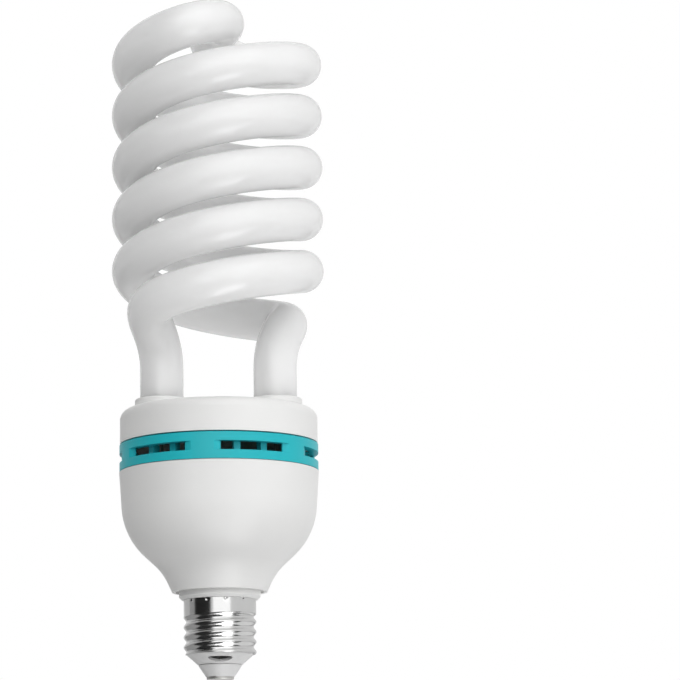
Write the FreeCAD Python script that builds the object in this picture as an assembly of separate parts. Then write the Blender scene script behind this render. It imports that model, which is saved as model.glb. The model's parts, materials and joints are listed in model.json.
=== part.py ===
import FreeCAD, Part
import math
import os

from FreeCAD import Vector

# Spiral energy saving bulb with an E27 screw cap.
# Millimetres, +Z up along the bulb's axis. The origin is the tip of the centre contact.
# +X points to the right leg of the tube, and the viewer of the front looks along +Y.

# Driving dimensions

# Round body: the vent ring sets the radius, and the cover and the housing follow it
body_radius = 36.1
cover_setback = 0.2
housing_proud = 0.1

# Spiral tube
tube_diameter = 15.8
coil_inset = 5.2              # middle of the tube inside the body's radius
coil_lead = 39.0              # rise of one strand in a full turn
coil_top_angle = 58.0         # where a strand leaves the helix for the bend over the top
coil_sweep = 899.0            # degrees that each strand winds down from there
coil_steps = 16
arch_rise = 7.4               # middle of the tube over the axis, above the top of the helix
arch_heading = 26.5           # degrees between the tube there and the front to back line
arch_reach = 16.0             # how far the bend runs straight on from the axis
arch_blend = 16.0             # how far it runs straight on from the helix
leg_inset = 10.25             # middle of a leg inside the middle of the coil
leg_length = 10.75            # straight part of a leg above its collar
leg_insertion = 4.6           # how far a leg reaches below the cover's ceiling
leg_end_round = 3.0
foot_rise = 23.4              # bottom of the helix above the straight part of a leg
foot_blend = 20.5
leg_blend = 19.0

# Upper cover with the two collars
cover_height = 12.5
cover_shoulder = 3.6
cover_wall = 2.2
collar_height = 4.2
collar_wall = 1.9
collar_round = 0.7
leg_clearance = 0.15
cover_spigot_height = 3.0
cover_spigot_wall = 1.6
cement_height = 5.0
cement_width = 1.0

# Vent ring
ring_height = 9.5
ring_wall = 3.2
slot_count = 6
slot_height = 3.3
slot_rise = 3.1               # lower edge of the slots above the ring's lower edge
slot_angle = 47.0
slot_first_angle = -69.5
slot_ramp_angle = 4.0         # sloped lead-in at each end of a slot
slot_ramp_depth = 1.0
slot_skin = 1.5               # the ring is this thin round the slots
slot_relief_angle = 50.0
rib_width = 2.4
rib_depth = 3.6
rib_setback = 0.5
rib_offset_angle = 9.0
ring_flange = 1.4

# Joint lines above and below the ring: a shadow gap outside a raised land
upper_joint_gap = 0.55
lower_joint_gap = 0.3
joint_land = 1.1

# Lower housing
housing_height = 43.5
housing_wall = 2.0
bowl_narrowing = 1.5          # corner of the bowl inside the rim
bowl_corner_drop = 23.2       # corner of the bowl below the rim
bowl_round = 26.0
neck_flare = 3.3              # corner of the neck outside the lip
neck_corner_rise = 7.2        # corner of the neck above the lip
neck_round = 21.0
lip_radius = 17.2
lip_width = 1.3
lip_recess = 0.8
neck_floor = 2.0

# Circuit board and the ledge that it lies on
board_margin = 3.7            # edge of the board inside the housing's radius
board_thickness = 1.6
board_drop = 6.6              # underside of the board below the rim
ledge_width = 3.0
ledge_depth = 2.0

# Neck ring
neck_ring_setback = 2.5       # ring inside the housing's lip
neck_ring_height = 2.8
neck_ring_chamfer = 1.0
neck_spigot_inset = 1.45      # spigot inside the skirt of the screw shell
neck_spigot_height = 3.2
neck_spigot_wall = 1.2
crimp_spigot_height = 3.6

# Screw shell, an E27 thread
shell_wall = 0.4
shell_length = 19.7
skirt_setback = 0.05
skirt_length = 5.2
skirt_taper = 1.0
thread_crest = 13.1
thread_depth = 0.95
thread_pitch = 3.629
thread_half_width = 1.25
thread_start_angle = -80.0
thread_runout = 0.2           # how far the thread climbs beside the skirt

# Insulating nose and centre contact
cone_height = 3.6
cone_step_radius = 8.1
nose_step = 0.25
nose_groove_height = 0.35     # groove between the cone and the nose
nose_groove_depth = 0.7
nose_height = 4.4
nose_bottom_radius = 5.1
nose_wall = 1.7
nose_spigot_height = 3.2
window_count = 3
window_width = 8.8
window_height = 2.9
window_drop = 0.45            # middle of a window below the middle of the cone
contact_setback = 0.2
contact_thickness = 1.0
contact_edge = 0.4
rivet_radius = 1.1

# Parts on the circuit board
seat = 0.1                    # air between a part and the face that it is soldered against
capacitor_radius = 9.0
capacitor_length = 31.0
capacitor_groove = 0.8
choke_place = 19.0
choke_width = 10.0
choke_depth = 22.0
choke_height = 17.0
choke_limb = 4.0
choke_middle_limb = 6.0
choke_yoke = 3.5
choke_coil = 2.6
choke_coil_round = 1.5
bobbin_wall = 0.8
toroid_place = -17.0
toroid_outer_radius = 5.0
toroid_inner_radius = 2.7
toroid_height = 5.0
toroid_coil = 0.6
toroid_coil_angle = 70.0
drum_x = -8.0
drum_y = -22.0
drum_radius = 4.5
drum_neck_radius = 2.0
drum_height = 10.0
drum_flange = 1.2
spreader_place = 20.0
spreader_width = 30.0
spreader_thickness = 1.5
spreader_height = 19.0
transistor_spacing = 15.0
transistor_width = 10.0
transistor_depth = 4.5
transistor_body = 9.0
transistor_tab = 6.0
transistor_tab_thickness = 1.3
transistor_hole = 3.6
transistor_lead = 4.3
lead_pitch = 2.54
lead_width = 0.8
lead_thickness = 0.5
film_round = 1.5
resonant_width = 12.0
resonant_depth = 6.0
resonant_height = 11.0
resonant_x = -19.0
resonant_y = 11.0
starting_width = 11.0
starting_depth = 5.0
starting_height = 9.0
starting_x = 6.0
starting_y = -17.0
input_width = 13.0
input_depth = 6.0
input_height = 12.0
input_x = -17.5
input_y = -12.0
fuse_radius = 2.0
fuse_length = 9.0
fuse_x = 16.0
fuse_y = -17.0
axial_wire = 0.35
axial_reach = 2.0             # straight wire beyond each end of a small part's body
axial_bend = 0.8
axial_spacing = 4.0
diode_count = 4
diode_radius = 1.35
diode_length = 5.0
diode_x = -8.0
resistor_count = 5
resistor_radius = 1.0
resistor_length = 4.0
resistor_x = 6.0
wire_radius = 0.45
wire_bend = 3.0
wire_gap = 0.25               # wires inside the bore of the neck
shell_wire_drop = 4.0
shell_wire_step = 0.6
shell_wire_end = 3.0
contact_wire_slack = 14.0
contact_wire_end = 5.0
pin_side = 1.0
pin_height = 8.0
pin_spacing = 7.0

# Heights that follow, from the contact up
contact_top = contact_thickness
cone_step_height = contact_top + nose_height
shell_bottom_height = cone_step_height + cone_height
shell_top_height = shell_bottom_height + shell_length
skirt_bottom_height = shell_top_height - skirt_length
lip_height = shell_top_height + neck_ring_height
neck_floor_height = lip_height + lip_recess
housing_top_height = lip_height + housing_height
board_height = housing_top_height - board_drop
board_top = board_height + board_thickness
ring_bottom_height = housing_top_height + lower_joint_gap
ring_top_height = ring_bottom_height + ring_height
slot_bottom_height = ring_bottom_height + slot_rise
cover_bottom_height = ring_top_height + upper_joint_gap
cover_top_height = cover_bottom_height + cover_height
cover_ceiling = cover_top_height - cover_wall
collar_top_height = cover_top_height + collar_height
leg_bottom_height = cover_ceiling - leg_insertion
leg_top_height = collar_top_height + leg_length
coil_bottom_height = leg_top_height + foot_rise
coil_top_height = coil_bottom_height + coil_lead * coil_sweep / 360
arch_height = coil_top_height + arch_rise

# Other sizes that follow
ring_radius = body_radius
cover_radius = body_radius - cover_setback
housing_radius = body_radius + housing_proud
bowl_corner_radius = housing_radius - bowl_narrowing
neck_corner_radius = lip_radius + neck_flare
board_radius = housing_radius - board_margin
tube_radius = tube_diameter / 2
coil_radius = body_radius - coil_inset
leg_place = coil_radius - leg_inset
skirt_radius = thread_crest - skirt_setback
thread_root = thread_crest - thread_depth
neck_ring_radius = lip_radius - neck_ring_setback
neck_spigot_radius = skirt_radius - neck_spigot_inset
neck_bore = neck_spigot_radius - neck_spigot_wall
contact_radius = nose_bottom_radius - contact_setback
wire_place = neck_bore - wire_gap - wire_radius
collar_bore = tube_radius + leg_clearance
collar_radius = tube_radius + collar_wall
cover_inner_radius = cover_radius - cover_wall
ring_inner_radius = ring_radius - ring_wall
solder_height = board_height - seat
UP = Vector(0, 0, 1)
CENTRE = Vector(0, 0, 0)


def rounded_outline(corners):
    """Closed outline in the XZ plane: each corner is (radius, height, rounding)."""
    count = len(corners)
    points = [Vector(c[0], 0, c[1]) for c in corners]
    starts = []
    ends = []
    mids = []
    for i in range(count):
        here = points[i]
        back = points[i - 1] - here
        ahead = points[(i + 1) % count] - here
        rounding = corners[i][2] if len(corners[i]) > 2 else 0
        if rounding == 0:
            starts.append(here)
            ends.append(here)
            mids.append(None)
            continue
        back.normalize()
        ahead.normalize()
        half = back.getAngle(ahead) / 2
        run = rounding / math.tan(half)
        middle = back + ahead
        middle.normalize()
        starts.append(here + back * run)
        ends.append(here + ahead * run)
        mids.append(here + middle * (rounding / math.sin(half) - rounding))
    edges = []
    for i in range(count):
        if mids[i] is not None:
            edges.append(Part.Arc(starts[i], mids[i], ends[i]).toShape())
        following = starts[(i + 1) % count]
        if ends[i].distanceToPoint(following) > 1e-6:
            edges.append(Part.LineSegment(ends[i], following).toShape())
    return Part.Wire(edges)


def turned(corners):
    """Solid of revolution about the bulb's axis."""
    return Part.Face(rounded_outline(corners)).revolve(CENTRE, UP, 360)


def cylinder(radius, bottom, top, x=0.0, y=0.0):
    return Part.makeCylinder(radius, top - bottom, Vector(x, y, bottom))


def block(width, depth, bottom, top, x=0.0, y=0.0):
    corner = Vector(x - width / 2, y - depth / 2, bottom)
    return Part.makeBox(width, depth, top - bottom, corner)


def turned_about(shape, angle):
    copy = shape.copy()
    copy.rotate(CENTRE, UP, angle)
    return copy


def arc_from(start, heading, end):
    """Edge from start to end that leaves start along heading."""
    chord = end - start
    along = Vector(chord)
    along.normalize()
    angle = math.acos(max(-1.0, min(1.0, heading.dot(along))))
    if angle < 1e-4:
        return Part.LineSegment(start, end).toShape()
    side = heading - along * math.cos(angle)
    side.normalize()
    middle = (start + end) * 0.5 + side * (chord.Length / 2 * math.tan(angle / 2))
    return Part.Arc(start, middle, end).toShape()


def two_arcs(start, start_heading, end, end_heading):
    """Two arcs that meet smoothly and join two points with given headings."""
    chord = end - start
    total = start_heading + end_heading
    spread = 2 * (1 - start_heading.dot(end_heading))
    along = chord.dot(total)
    reach = (math.sqrt(along * along + spread * chord.dot(chord)) - along) / spread
    first = start + start_heading * reach
    second = end - end_heading * reach
    heading = second - first
    heading.normalize()
    meeting = (first + second) * 0.5
    return [arc_from(start, start_heading, meeting), arc_from(meeting, heading, end)]


def helix_station(angle):
    """Point and downward heading of a strand at an angle about the axis."""
    turn = math.radians(angle)
    point = Vector(coil_radius * math.cos(turn), coil_radius * math.sin(turn),
                   coil_top_height + coil_lead * (angle - coil_top_angle) / 360)
    heading = Vector(coil_radius * math.sin(turn), -coil_radius * math.cos(turn),
                     -coil_lead / (2 * math.pi))
    heading.normalize()
    return point, heading


def bend_stations(start, end, start_reach, end_reach, steps):
    """Stations along a smooth bend between two stations, both ends left out."""
    a, d = start[0], end[0]
    b = a + start[1] * start_reach
    c = d - end[1] * end_reach
    stations = []
    for i in range(1, steps):
        t = i / steps
        u = 1 - t
        point = a * u ** 3 + b * (3 * u * u * t) + c * (3 * u * t * t) + d * t ** 3
        heading = (b - a) * (u * u) + (c - b) * (2 * u * t) + (d - c) * (t * t)
        heading.normalize()
        stations.append((point, heading))
    return stations


def strand_stations():
    """One strand from the axis at the top, down the helix, to the top of its leg."""
    turn = math.radians(arch_heading)
    crown = (Vector(0, 0, arch_height), Vector(-math.sin(turn), math.cos(turn), 0))
    coil = [helix_station(coil_top_angle - coil_sweep * i / coil_steps)
            for i in range(coil_steps + 1)]
    leg = (Vector(-leg_place, 0, leg_top_height), Vector(0, 0, -1))
    stations = [crown]
    stations += bend_stations(crown, coil[0], arch_reach, arch_blend, 3)
    stations += coil
    stations += bend_stations(coil[-1], leg, foot_blend, leg_blend, 3)
    stations.append(leg)
    return stations


def make_spiral_tube():
    """Both strands as one blown tube: one leg up, over the axis and down the other."""
    down = strand_stations()
    up = []
    for point, heading in reversed(down[1:]):
        up.append((Vector(-point.x, -point.y, point.z), Vector(heading.x, heading.y, -heading.z)))
    stations = up + down
    foot_up = Vector(leg_place, 0, leg_bottom_height)
    foot_down = Vector(-leg_place, 0, leg_bottom_height)
    edges = [Part.LineSegment(foot_up, stations[0][0]).toShape()]
    for (start, start_heading), (end, end_heading) in zip(stations, stations[1:]):
        edges += two_arcs(start, start_heading, end, end_heading)
    edges.append(Part.LineSegment(stations[-1][0], foot_down).toShape())
    section = Part.Face(Part.Wire(Part.makeCircle(tube_radius, foot_up, UP)))
    tube = Part.Wire(edges).makePipe(section)
    rims = [e for e in tube.Edges
            if len(e.Vertexes) == 1 and abs(e.BoundBox.ZMax - leg_bottom_height) < 1e-3]
    return tube.makeFillet(leg_end_round, rims)


def make_upper_cover():
    spigot_radius = ring_inner_radius - leg_clearance
    cap = turned([
        (0, cover_top_height),
        (cover_radius, cover_top_height, cover_shoulder),
        (cover_radius, cover_bottom_height),
        (spigot_radius, cover_bottom_height),
        (spigot_radius, cover_bottom_height - cover_spigot_height),
        (spigot_radius - cover_spigot_wall, cover_bottom_height - cover_spigot_height),
        (spigot_radius - cover_spigot_wall, cover_bottom_height + cover_wall, 1.0),
        (cover_inner_radius - 1.0, cover_ceiling, cover_shoulder - cover_wall),
        (0, cover_ceiling)])
    for x in (-leg_place, leg_place):
        collar = cylinder(collar_radius, cover_ceiling, collar_top_height, x)
        rim = [e for e in collar.Edges if abs(e.BoundBox.ZMin - collar_top_height) < 1e-3]
        cap = cap.fuse(collar.makeFillet(collar_round, rim))
    for x in (-leg_place, leg_place):
        cap = cap.cut(cylinder(collar_bore, cover_bottom_height, collar_top_height + 1, x))
    return cap.removeSplitter()


def make_leg_cement(x):
    """Bed of cement round one leg, under the cover's ceiling."""
    outside = cylinder(collar_bore + cement_width, cover_ceiling - cement_height,
                       cover_ceiling, x)
    return outside.cut(cylinder(collar_bore, cover_ceiling - cement_height - 1,
                                cover_ceiling + 1, x))


def ring_sector(inner, outer, angle, bottom, top):
    """Sector of a ring, with the +X direction in its middle."""
    sector = Part.makeCylinder(outer, top - bottom, Vector(0, 0, bottom), UP, angle)
    return turned_about(sector.cut(cylinder(inner, bottom, top)), -angle / 2)


def on_circle(radius, angle, height):
    turn = math.radians(angle)
    return Vector(radius * math.cos(turn), radius * math.sin(turn), height)


def slot_cutter():
    """One slot: its opening, a sloped lead-in at both ends, and the relief behind it."""
    top = slot_bottom_height + slot_height
    back = ring_inner_radius - rib_setback
    half = slot_angle / 2
    opening = ring_sector(back, ring_radius + 1, slot_angle - 2 * slot_ramp_angle,
                          slot_bottom_height, top)
    relief = ring_sector(back, ring_radius - slot_skin, slot_relief_angle,
                         slot_bottom_height, top)
    corners = []
    for side in (1, -1):
        edge = on_circle(ring_radius, side * half, slot_bottom_height)
        floor = on_circle(ring_radius - slot_ramp_depth, side * (half - slot_ramp_angle),
                          slot_bottom_height)
        corners += [floor, floor + (edge - floor) * 2][::side]
    outline = Part.Wire([Part.LineSegment(a, b).toShape()
                         for a, b in zip(corners, corners[1:] + corners[:1])])
    ramps = Part.Face(outline).extrude(Vector(0, 0, slot_height))
    return opening.fuse([relief, ramps])


def make_vent_ring():
    rib_inner = ring_inner_radius - rib_depth
    rib_top = cover_bottom_height - cover_spigot_height - leg_clearance
    band = turned([
        (ring_radius, ring_bottom_height),
        (ring_radius, ring_top_height),
        (ring_inner_radius + joint_land, ring_top_height),
        (ring_inner_radius + joint_land, cover_bottom_height),
        (ring_inner_radius, cover_bottom_height),
        (ring_inner_radius, ring_bottom_height + ring_flange),
        (rib_inner, ring_bottom_height + ring_flange),
        (rib_inner, ring_bottom_height)])
    cutter = slot_cutter()
    rib = block(rib_depth + ring_wall / 2, rib_width, ring_bottom_height, rib_top,
                rib_inner + (rib_depth + ring_wall / 2) / 2)
    middles = [slot_first_angle + i * 360 / slot_count for i in range(slot_count)]
    ribs = []
    for middle in middles:
        for side in (-1, 1):
            ribs.append(turned_about(rib, middle + side * rib_offset_angle))
    band = band.fuse(ribs)
    slots = [turned_about(cutter, middle) for middle in middles]
    return band.cut(slots).removeSplitter()


def make_lower_housing():
    inner_top = housing_radius - housing_wall
    bowl_corner_height = housing_top_height - bowl_corner_drop
    neck_corner_height = lip_height + neck_corner_rise
    ledge_inner = board_radius - ledge_width
    bore = neck_spigot_radius + leg_clearance
    return turned([
        (housing_radius, housing_top_height),
        (inner_top + joint_land, housing_top_height),
        (inner_top + joint_land, ring_bottom_height),
        (inner_top, ring_bottom_height),
        (inner_top - 0.4, board_height),
        (ledge_inner, board_height),
        (ledge_inner, board_height - ledge_depth),
        (inner_top - 0.7, board_height - ledge_depth - ledge_width - 1),
        (bowl_corner_radius - housing_wall, bowl_corner_height + 0.8, bowl_round - housing_wall),
        (neck_corner_radius - housing_wall, neck_corner_height + 0.9, neck_round - 4),
        (lip_radius - housing_wall - 0.2, neck_floor_height + neck_floor),
        (bore, neck_floor_height + neck_floor),
        (bore, neck_floor_height),
        (lip_radius - lip_width, neck_floor_height),
        (lip_radius - lip_width, lip_height),
        (lip_radius, lip_height),
        (neck_corner_radius, neck_corner_height, neck_round),
        (bowl_corner_radius, bowl_corner_height, bowl_round)])


def make_neck_ring():
    """Flange under the housing's lip, with one spigot up and one down into the shell."""
    crimp_radius = skirt_radius - shell_wall
    spigot_top = neck_floor_height + neck_spigot_height
    return turned([
        (neck_bore, spigot_top),
        (neck_spigot_radius, spigot_top),
        (neck_spigot_radius, neck_floor_height),
        (neck_ring_radius, neck_floor_height),
        (neck_ring_radius, shell_top_height + neck_ring_chamfer),
        (neck_ring_radius - neck_ring_chamfer, shell_top_height),
        (crimp_radius, shell_top_height),
        (crimp_radius, shell_top_height - crimp_spigot_height),
        (neck_bore, shell_top_height - crimp_spigot_height)])


def make_cap_shell():
    """Thin skirt and threaded wall; the thread is a ridge wound round the wall."""
    wall_top = skirt_bottom_height - skirt_taper
    inner_root = thread_root - shell_wall
    shell = turned([
        (skirt_radius, shell_top_height),
        (skirt_radius, skirt_bottom_height),
        (thread_root, wall_top),
        (thread_root, shell_bottom_height),
        (inner_root, shell_bottom_height),
        (inner_root, wall_top),
        (skirt_radius - shell_wall, skirt_bottom_height),
        (skirt_radius - shell_wall, shell_top_height)])
    climb = skirt_bottom_height + thread_runout - shell_bottom_height
    path = Part.makeLongHelix(thread_pitch, climb, thread_root)
    foot = thread_root - shell_wall / 2
    low = Vector(foot, 0, -thread_half_width)
    high = Vector(foot, 0, thread_half_width)
    crest = Vector(thread_crest, 0, 0)
    outline = Part.Wire([Part.Arc(low, crest, high).toShape(),
                         Part.LineSegment(high, low).toShape()])
    ridge = Part.Wire(path.Edges).makePipeShell([outline], True, True)
    ridge.rotate(CENTRE, UP, thread_start_angle)
    ridge.translate(Vector(0, 0, shell_bottom_height))
    below = cylinder(2 * thread_crest, shell_bottom_height - thread_pitch, shell_bottom_height)
    return shell.fuse(ridge.cut(below))


def make_cap_insulator():
    inside = thread_root - shell_wall - leg_clearance
    nose = turned([
        (thread_root, shell_bottom_height),
        (cone_step_radius, cone_step_height),
        (cone_step_radius - nose_groove_depth, cone_step_height),
        (cone_step_radius - nose_groove_depth, cone_step_height - nose_groove_height),
        (cone_step_radius - nose_step, cone_step_height - nose_groove_height),
        (nose_bottom_radius, contact_top),
        (rivet_radius + leg_clearance, contact_top),
        (rivet_radius + leg_clearance, cone_step_height - nose_wall),
        (cone_step_radius - 2 * nose_wall, cone_step_height - nose_wall),
        (cone_step_radius - nose_wall, cone_step_height + 0.4),
        (inside - nose_wall, shell_bottom_height),
        (inside - nose_wall, shell_bottom_height + nose_spigot_height),
        (inside, shell_bottom_height + nose_spigot_height),
        (inside, shell_bottom_height)])
    slope = math.degrees(math.atan2(thread_root - cone_step_radius,
                                    shell_bottom_height - cone_step_height))
    steepness = (thread_root - cone_step_radius) / cone_height
    middle = Vector(0, window_drop * steepness - (thread_root + cone_step_radius) / 2,
                    (shell_bottom_height + cone_step_height) / 2 - window_drop)
    ellipse = Part.Ellipse(CENTRE, window_width / 2, window_height / 2).toShape()
    window = Part.Face(Part.Wire(ellipse)).extrude(Vector(0, 0, 2 * nose_wall + 2))
    window.translate(Vector(0, 0, -nose_wall - 1))
    window.rotate(CENTRE, Vector(1, 0, 0), 90 + slope)
    window.translate(middle)
    for i in range(window_count):
        nose = nose.cut(turned_about(window, i * 360 / window_count))
    return nose


def make_centre_contact():
    disc = turned([(0, 0), (contact_radius, 0, contact_edge), (contact_radius, contact_top),
                   (0, contact_top)])
    return disc.fuse(cylinder(rivet_radius, contact_top / 2, cone_step_height)).removeSplitter()


def make_bulk_capacitor():
    """Can with a rolled groove near the end that faces the board."""
    top = solder_height
    groove = top - 3.0
    return turned([
        (0, top),
        (capacitor_radius, top, 0.8),
        (capacitor_radius, groove + 1.2, 0.4),
        (capacitor_radius - capacitor_groove, groove, 0.5),
        (capacitor_radius, groove - 1.2, 0.4),
        (capacitor_radius, top - capacitor_length, 1.0),
        (0, top - capacitor_length)])


def make_choke_core():
    """Ferrite core of three limbs, open on both sides of the middle one."""
    top = solder_height
    bottom = top - choke_height
    core = block(choke_width, choke_depth, bottom, top, choke_place)
    gap = (choke_depth - 2 * choke_limb - choke_middle_limb) / 2
    for side in (-1, 1):
        core = core.cut(block(choke_width + 2, gap, bottom + choke_yoke, top - choke_yoke,
                              choke_place, side * (choke_middle_limb + gap) / 2))
    return core


def choke_sleeve(inner, outer, bottom, top):
    """Square sleeve round the middle limb, inner and outer being gaps from the limb."""
    outside = block(choke_width + 2 * outer, choke_middle_limb + 2 * outer, bottom, top,
                    choke_place)
    inside = block(choke_width + 2 * inner, choke_middle_limb + 2 * inner, bottom - 1, top + 1,
                   choke_place)
    return outside.cut(inside)


def make_choke_bobbin():
    top = solder_height - choke_yoke - seat
    bottom = solder_height - choke_height + choke_yoke + seat
    flange = bobbin_wall + choke_coil
    bobbin = choke_sleeve(seat, bobbin_wall, bottom, top)
    bobbin = bobbin.fuse(choke_sleeve(seat, flange, bottom, bottom + bobbin_wall))
    return bobbin.fuse(choke_sleeve(seat, flange, top - bobbin_wall, top)).removeSplitter()


def make_choke_winding():
    top = solder_height - choke_yoke - seat - bobbin_wall
    bottom = solder_height - choke_height + choke_yoke + seat + bobbin_wall
    coil = choke_sleeve(bobbin_wall, bobbin_wall + choke_coil - 2 * seat, bottom, top)
    reach = choke_width / 2 + bobbin_wall
    corners = [e for e in coil.Edges
               if abs(e.BoundBox.ZLength - (top - bottom)) < 1e-3
               and abs(e.BoundBox.XMin - choke_place) > reach + seat]
    return coil.makeFillet(choke_coil_round, corners)


def make_toroid_core():
    top = solder_height - toroid_coil
    core = cylinder(toroid_outer_radius, top - toroid_height, top, toroid_place)
    return core.cut(cylinder(toroid_inner_radius, top - toroid_height - 1, top + 1,
                             toroid_place))


def make_toroid_windings():
    """Three windings spaced round the toroid, each hugging its section."""
    top = solder_height
    bottom = top - toroid_height - 2 * toroid_coil
    centre = Vector(toroid_place, 0, bottom)
    coils = []
    for i in range(3):
        sector = Part.makeCylinder(toroid_outer_radius + toroid_coil, top - bottom, centre,
                                   UP, toroid_coil_angle)
        sector = sector.cut(cylinder(toroid_inner_radius - toroid_coil, bottom, top,
                                     toroid_place))
        sector.rotate(centre, UP, i * 120)
        coils.append(sector.cut(make_toroid_core()))
    return Part.makeCompound(coils)


def make_filter_core():
    top = solder_height
    bottom = top - drum_height
    drum = turned([(0, top), (drum_radius, top), (drum_radius, top - drum_flange),
                   (drum_neck_radius, top - drum_flange),
                   (drum_neck_radius, bottom + drum_flange),
                   (drum_radius, bottom + drum_flange), (drum_radius, bottom), (0, bottom)])
    drum.translate(Vector(drum_x, drum_y, 0))
    return drum


def make_filter_winding():
    top = solder_height - drum_flange
    bottom = solder_height - drum_height + drum_flange
    coil = turned([(drum_neck_radius, top), (drum_radius - 0.6, top, 0.5),
                   (drum_radius - 0.6, bottom, 0.5), (drum_neck_radius, bottom)])
    coil.translate(Vector(drum_x, drum_y, 0))
    return coil


def make_heat_spreader():
    """Bent aluminium plate that both transistors are riveted to."""
    top = solder_height
    plate = block(spreader_width, spreader_thickness, top - spreader_height, top,
                  0, spreader_place)
    return plate.makeFillet(0.5, [e for e in plate.Edges if e.BoundBox.XLength < 1e-6
                                  and e.BoundBox.ZLength > 1])


def make_transistor(x):
    """Flat power transistor: tab down, body, and three leads up to the board."""
    top = solder_height
    back = spreader_place - spreader_thickness / 2 - seat
    body_top = top - transistor_lead
    body_bottom = body_top - transistor_body
    body = block(transistor_width, transistor_depth, body_bottom, body_top, x,
                 back - transistor_depth / 2)
    tab = block(transistor_width, transistor_tab_thickness, body_bottom - transistor_tab,
                body_bottom, x, back - transistor_tab_thickness / 2)
    hole = Part.makeCylinder(transistor_hole / 2, transistor_tab_thickness + 2,
                             Vector(x, back - transistor_tab_thickness - 1,
                                    body_bottom - transistor_tab / 2), Vector(0, 1, 0))
    pieces = [tab.cut(hole)]
    for i in (-1, 0, 1):
        pieces.append(block(lead_width, lead_thickness, body_top, top, x + i * lead_pitch,
                            back - transistor_depth / 2))
    return body.fuse(pieces).removeSplitter()


def make_film_capacitor(width, depth, height, x, y):
    """Dipped capacitor: a block with its upright and lower edges rounded."""
    top = solder_height
    can = block(width, depth, top - height, top, x, y)
    edges = [e for e in can.Edges if e.BoundBox.ZMin < top - 1e-3]
    return can.makeFillet(film_round, edges)


def make_axial_parts(radius, length, count, x):
    """Row of small parts that lie on the board, each on two bent leads."""
    parts = []
    lift = board_top + seat + radius
    for i in range(count):
        y = (i - (count - 1) / 2) * axial_spacing
        body = Part.makeCylinder(radius, length, Vector(x - length / 2, y, lift),
                                 Vector(1, 0, 0))
        reach = length / 2 + axial_reach
        route = [Vector(x - reach, y, board_top), Vector(x - reach, y, lift),
                 Vector(x + reach, y, lift), Vector(x + reach, y, board_top)]
        parts.append(body.fuse(bent_wire(route, axial_wire, axial_bend)).removeSplitter())
    return Part.makeCompound(parts)


def bent_wire(route, radius, bend):
    """Round wire along straight runs, with an arc of the given radius at each corner."""
    edges = []
    start = route[0]
    for i in range(1, len(route) - 1):
        back = route[i - 1] - route[i]
        ahead = route[i + 1] - route[i]
        back.normalize()
        ahead.normalize()
        half = back.getAngle(ahead) / 2
        run = bend / math.tan(half)
        middle = back + ahead
        middle.normalize()
        first = route[i] + back * run
        last = route[i] + ahead * run
        crown = route[i] + middle * (bend / math.sin(half) - bend)
        edges.append(Part.LineSegment(start, first).toShape())
        edges.append(Part.Arc(first, crown, last).toShape())
        start = last
    edges.append(Part.LineSegment(start, route[-1]).toShape())
    section = Part.Face(Part.Wire(Part.makeCircle(radius, route[0], route[1] - route[0])))
    return Part.Wire(edges).makePipe(section)


def make_wrap_pins():
    pins = []
    for x in (-leg_place, leg_place):
        for side in (-1, 1):
            pins.append(block(pin_side, pin_side, board_top, board_top + pin_height, x,
                              side * pin_spacing / 2))
    return Part.makeCompound(pins)


def make_lead_wires(x):
    """The two wires of one leg, from the glass down to their pins."""
    wires = []
    pin_top = board_top + pin_height + seat
    for side in (-1, 1):
        route = [Vector(x, side * tube_radius / 3, leg_bottom_height - seat),
                 Vector(x, side * tube_radius / 3, leg_bottom_height - 4),
                 Vector(x, side * pin_spacing / 2, pin_top + 4),
                 Vector(x, side * pin_spacing / 2, pin_top)]
        wires.append(bent_wire(route, wire_radius, 2.0))
    return Part.makeCompound(wires)


def make_shell_wire():
    """From the board down through the neck to the inside of the screw shell."""
    reach = thread_root - shell_wall - seat
    level = skirt_bottom_height - shell_wire_drop
    middle = wire_place + shell_wire_step
    route = [Vector(-wire_place, 0, solder_height),
             Vector(-wire_place, 0, level + shell_wire_end), Vector(-middle, 0, level),
             Vector(-reach + wire_radius, 0, level - shell_wire_end)]
    return bent_wire(route, wire_radius, wire_bend)


def make_contact_wire():
    """From the board down through the neck to the rivet of the centre contact."""
    end = cone_step_height + seat
    route = [Vector(wire_place, 0, solder_height),
             Vector(wire_place, 0, end + contact_wire_slack),
             Vector(0, 0, end + contact_wire_end), Vector(0, 0, end)]
    return bent_wire(route, wire_radius, wire_bend)


def export(name, shape):
    shape.exportStep("parts/" + name + ".step")
    print(name, shape.isValid(), len(shape.Solids), round(shape.Volume))


os.makedirs("parts", exist_ok=True)
export("spiral_tube", make_spiral_tube())
export("upper_cover", make_upper_cover())
export("leg_cement_left", make_leg_cement(-leg_place))
export("leg_cement_right", make_leg_cement(leg_place))
export("vent_ring", make_vent_ring())
export("lower_housing", make_lower_housing())
export("circuit_board", cylinder(board_radius, board_height, board_top))
export("neck_ring", make_neck_ring())
export("cap_shell", make_cap_shell())
export("cap_insulator", make_cap_insulator())
export("centre_contact", make_centre_contact())
export("bulk_capacitor", make_bulk_capacitor())
export("choke_core", make_choke_core())
export("choke_bobbin", make_choke_bobbin())
export("choke_winding", make_choke_winding())
export("toroid_core", make_toroid_core())
export("toroid_windings", make_toroid_windings())
export("filter_choke_core", make_filter_core())
export("filter_choke_winding", make_filter_winding())
export("heat_spreader", make_heat_spreader())
export("transistor_left", make_transistor(-transistor_spacing / 2))
export("transistor_right", make_transistor(transistor_spacing / 2))
export("resonant_capacitor", make_film_capacitor(
    resonant_width, resonant_depth, resonant_height, resonant_x, resonant_y))
export("starting_capacitor", make_film_capacitor(
    starting_width, starting_depth, starting_height, starting_x, starting_y))
export("input_capacitor", make_film_capacitor(
    input_width, input_depth, input_height, input_x, input_y))
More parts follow.
